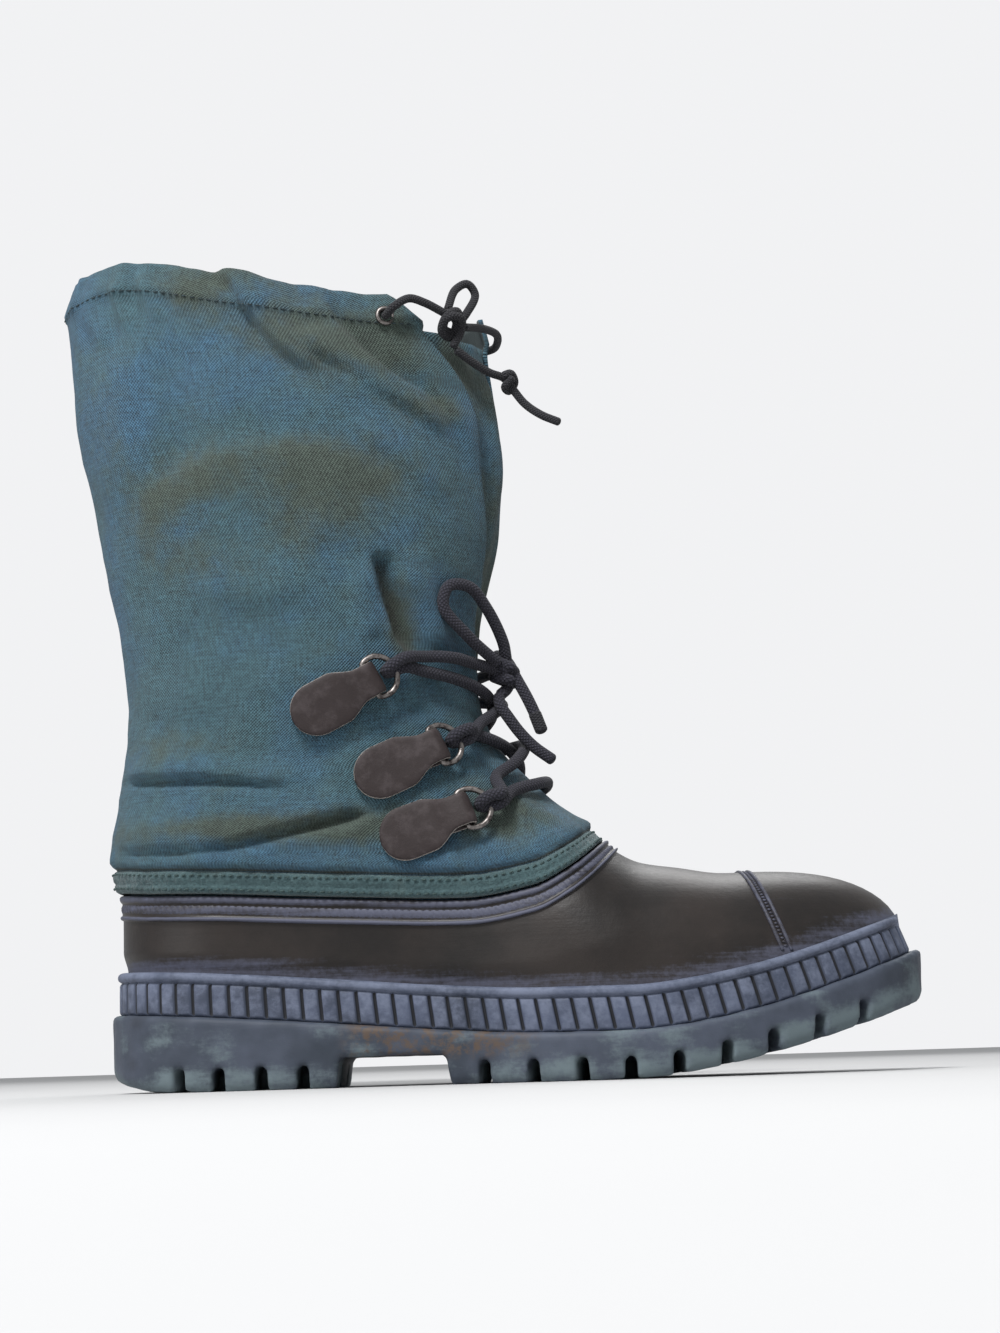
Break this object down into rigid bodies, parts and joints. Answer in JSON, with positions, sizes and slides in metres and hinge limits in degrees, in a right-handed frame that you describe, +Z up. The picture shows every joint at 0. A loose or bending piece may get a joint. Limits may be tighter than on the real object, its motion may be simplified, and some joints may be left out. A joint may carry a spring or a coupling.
{
  "type": "pac boot",
  "caption": "Tall right-foot pac boot: moulded rubber foot with ribbed band on a lugged sole, nylon shaft with leather ring tabs, crossed laces and a collar drawcord.",
  "frame": {"origin": "under the middle of the boot's bounding box, on the floor, measured without its free cords", "axes": "+X towards the toe, +Y towards the inner side of the right foot, +Z up"},
  "size_m": [0.3442, 0.1234, 0.3353],
  "materials": {
    "outsole_rubber": "worn, matt",
    "band_rubber": "worn, matt",
    "shell_rubber": "satin, scuffed",
    "insole_cloth": "plain",
    "nylon": "coarse woven nylon",
    "leather": "worn",
    "ring_metal": "dull, browned",
    "lace_cord": "braided cord",
    "drawcord_cord": "braided cord"
  },
  "bodies": {
    "root": {"outsole": "outsole_rubber", "ribbed_band": "band_rubber", "rubber_shell": "shell_rubber", "insole": "insole_cloth", "shaft": "nylon", "front_gusset": "nylon", "lace_patch_low_outer": "leather", "lace_patch_low_inner": "leather", "lace_patch_middle_outer": "leather", "lace_patch_middle_inner": "leather", "lace_patch_top_outer": "leather", "lace_patch_top_inner": "leather", "lace_ring_low_outer": "ring_metal", "lace_ring_low_inner": "ring_metal", "lace_ring_middle_outer": "ring_metal", "lace_ring_middle_inner": "ring_metal", "lace_ring_top_outer": "ring_metal", "lace_ring_top_inner": "ring_metal", "lace_crossings": "lace_cord", "drawcord_grommet_outer": "ring_metal", "drawcord_grommet_inner": "ring_metal", "lace_knot": "lace_cord", "lace_loop": "lace_cord", "lace_end_upper": "lace_cord", "lace_end_lower": "lace_cord", "drawcord_strand_outer": "drawcord_cord", "drawcord_knot": "drawcord_cord", "drawcord_loop": "drawcord_cord", "drawcord_strand_inner": "drawcord_cord", "drawcord_tail": "drawcord_cord"}
  },
  "joints": []
}
